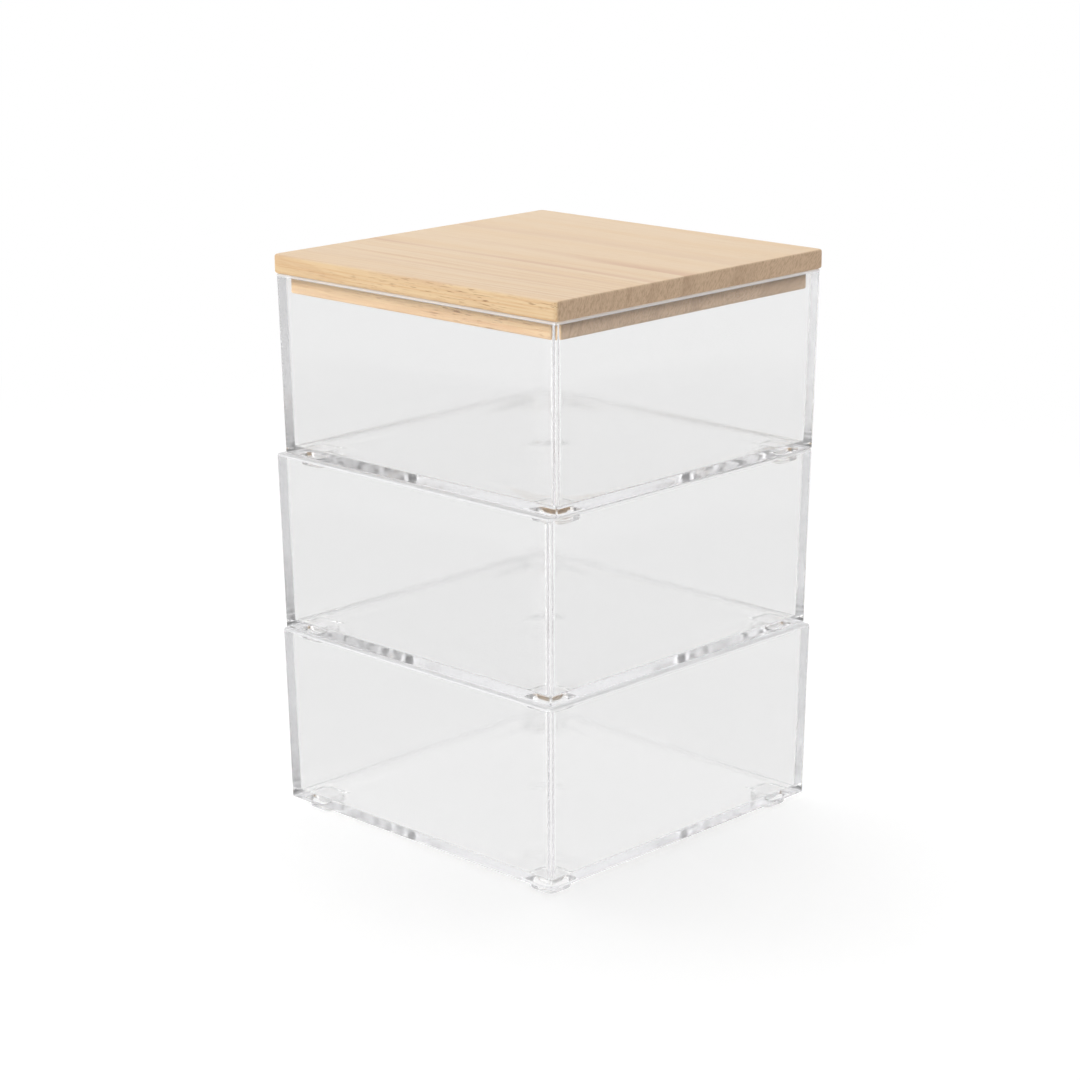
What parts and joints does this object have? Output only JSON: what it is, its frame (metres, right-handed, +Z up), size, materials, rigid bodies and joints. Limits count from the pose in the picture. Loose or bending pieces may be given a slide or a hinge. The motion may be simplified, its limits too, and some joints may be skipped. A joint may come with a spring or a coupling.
{
  "type": "stacking tray box with lid",
  "caption": "Square clear plastic trays stacked on small corner feet, closed by a flat wooden lid with a locating step; trays and lid lift off",
  "frame": {"origin": "on the ground under the lid's centre, with the lowest tray's feet at z = 0", "axes": "+Z up, -Y is the side along which the lid's grain runs, +X is an end-grain side of the lid"},
  "size_m": [0.1007, 0.1014, 0.15],
  "materials": {
    "clear_plastic": "clear, polished",
    "lid_wood": "pale, sanded, unvarnished"
  },
  "bodies": {
    "lower_tray": {"lower_tray": "clear_plastic"},
    "middle_tray": {"middle_tray": "clear_plastic"},
    "upper_tray": {"upper_tray": "clear_plastic"},
    "lid": {"lid_board": "lid_wood", "lid_plug": "lid_wood"}
  },
  "joints": [
    {"name": "middle_tray_lift", "type": "slide", "parent": "lower_tray", "child": "middle_tray", "axis": [0, 0, 1], "range_m": [0, 0.06]},
    {"name": "upper_tray_lift", "type": "slide", "parent": "middle_tray", "child": "upper_tray", "axis": [0, 0, 1], "range_m": [0, 0.06]},
    {"name": "lid_lift", "type": "slide", "parent": "upper_tray", "child": "lid", "axis": [0, 0, 1], "range_m": [0, 0.06]}
  ]
}
